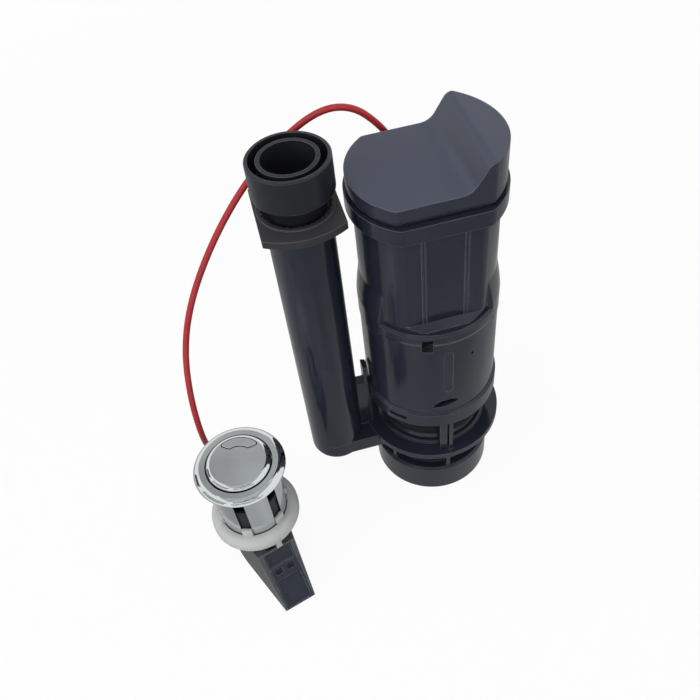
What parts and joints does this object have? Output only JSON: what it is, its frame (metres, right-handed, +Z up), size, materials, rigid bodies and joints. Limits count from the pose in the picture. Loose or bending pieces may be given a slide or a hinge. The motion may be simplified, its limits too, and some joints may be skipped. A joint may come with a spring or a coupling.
{
  "type": "cable-operated flush valve with push button",
  "caption": "Cistern flush valve with overflow pipe, worked through a red cable by a chrome dual push button.",
  "frame": {"origin": "on the valve's axis at the bottom of its outlet ring", "axes": "+Z up along the valve's axis, -X towards the overflow pipe, -Y towards the push button's side"},
  "size_m": [0.193, 0.135, 0.2545],
  "materials": {
    "body_plastic": "dark grey moulded plastic, satin",
    "lid_plastic": "grey moulded plastic, matte",
    "overflow_plastic": "near-black moulded plastic, satin",
    "chrome_trim": "bright chrome plating",
    "nut_plastic": "milky white plastic",
    "inner_plastic": "white moulded plastic",
    "seal_rubber": "soft black rubber",
    "spring_steel": "drawn steel wire",
    "cable_red": "red cable outer",
    "ferrule_black": "black ferrule"
  },
  "bodies": {
    "valve_body": {"valve_base": "body_plastic", "outlet_ring": "body_plastic", "outlet_throat": "body_plastic", "overflow_bridge": "body_plastic", "overflow_pipe": "body_plastic", "lower_collar": "body_plastic", "upper_housing": "body_plastic", "top_cap": "lid_plastic", "overflow_lock_plate": "overflow_plastic", "overflow_seal": "seal_rubber", "valve_ferrule": "ferrule_black", "lift_pin": "spring_steel", "button_barrel": "chrome_trim", "guide_core": "overflow_plastic", "actuator_housing": "body_plastic", "actuator_cover": "body_plastic", "lever_pin": "spring_steel", "actuator_ferrule": "ferrule_black", "cable_sheath": "cable_red", "main_spring": "spring_steel"},
    "main_button": {"main_button": "chrome_trim", "button_carrier": "overflow_plastic", "small_spring": "spring_steel"},
    "small_button": {"small_button": "chrome_trim"},
    "actuator_lever": {"actuator_lever": "inner_plastic"},
    "actuator_wire": {"actuator_wire": "spring_steel"},
    "valve_wire": {"valve_wire": "spring_steel"},
    "lift_lever": {"lift_lever": "inner_plastic"},
    "lift_works": {"lift_rod": "inner_plastic", "seal_plate": "overflow_plastic", "flush_seal": "seal_rubber", "seal_retainer": "overflow_plastic", "main_float": "inner_plastic"},
    "half_flush_float": {"half_flush_float": "inner_plastic"},
    "overflow_extension": {"overflow_extension": "overflow_plastic"},
    "clamp_nut": {"clamp_nut": "nut_plastic"}
  },
  "joints": [
    {"name": "main_button_press", "type": "slide", "parent": "valve_body", "child": "main_button", "axis": [0, 0, -1], "range_m": [0, 0.00799], "stiffness_N_per_m": 350, "springref_m": -0.008, "deforming": ["main_spring"]},
    {"name": "small_button_press", "type": "slide", "parent": "main_button", "child": "small_button", "axis": [0, 0, -1], "range_m": [0, 0.005], "stiffness_N_per_m": 250, "springref_m": -0.006, "deforming": ["small_spring"]},
    {"name": "actuator_lever_turn", "type": "hinge", "parent": "valve_body", "child": "actuator_lever", "pos_m": [-0.12, -0.06084, 0.037], "axis": [-0.9613, -0.2756, 0], "range_deg": [0, 32]},
    {"name": "actuator_wire_pull", "type": "slide", "parent": "valve_body", "child": "actuator_wire", "axis": [0.2756, -0.9613, 0], "range_m": [0, 0.01324]},
    {"name": "valve_wire_pull", "type": "slide", "parent": "valve_body", "child": "valve_wire", "axis": [0, 0, 1], "range_m": [0, 0.01324]},
    {"name": "lift_lever_turn", "type": "hinge", "parent": "valve_body", "child": "lift_lever", "pos_m": [0, -0.023, 0.176], "axis": [1, 0, 0], "range_deg": [0, 12.78]},
    {"name": "lift_works_rise", "type": "slide", "parent": "valve_body", "child": "lift_works", "axis": [0, 0, 1], "range_m": [0, 0.00512]},
    {"name": "half_float_rise", "type": "slide", "parent": "valve_body", "child": "half_flush_float", "axis": [0, 0, 1], "range_m": [0, 0.006]},
    {"name": "overflow_extension_slide", "type": "slide", "parent": "valve_body", "child": "overflow_extension", "axis": [0, 0, 1], "range_m": [-0.009, 0.04]},
    {"name": "clamp_nut_slide", "type": "slide", "parent": "valve_body", "child": "clamp_nut", "axis": [0, 0, 1], "range_m": [0, 0.033]}
  ],
  "couplings": [
    {"joint": "actuator_lever_turn", "follows": "main_button_press", "rad_per_m": 69.87},
    {"joint": "actuator_wire_pull", "follows": "main_button_press", "ratio": 1.6552},
    {"joint": "valve_wire_pull", "follows": "main_button_press", "ratio": 1.6552},
    {"joint": "lift_lever_turn", "follows": "main_button_press", "rad_per_m": 27.876},
    {"joint": "lift_works_rise", "follows": "main_button_press", "ratio": 0.63982}
  ]
}
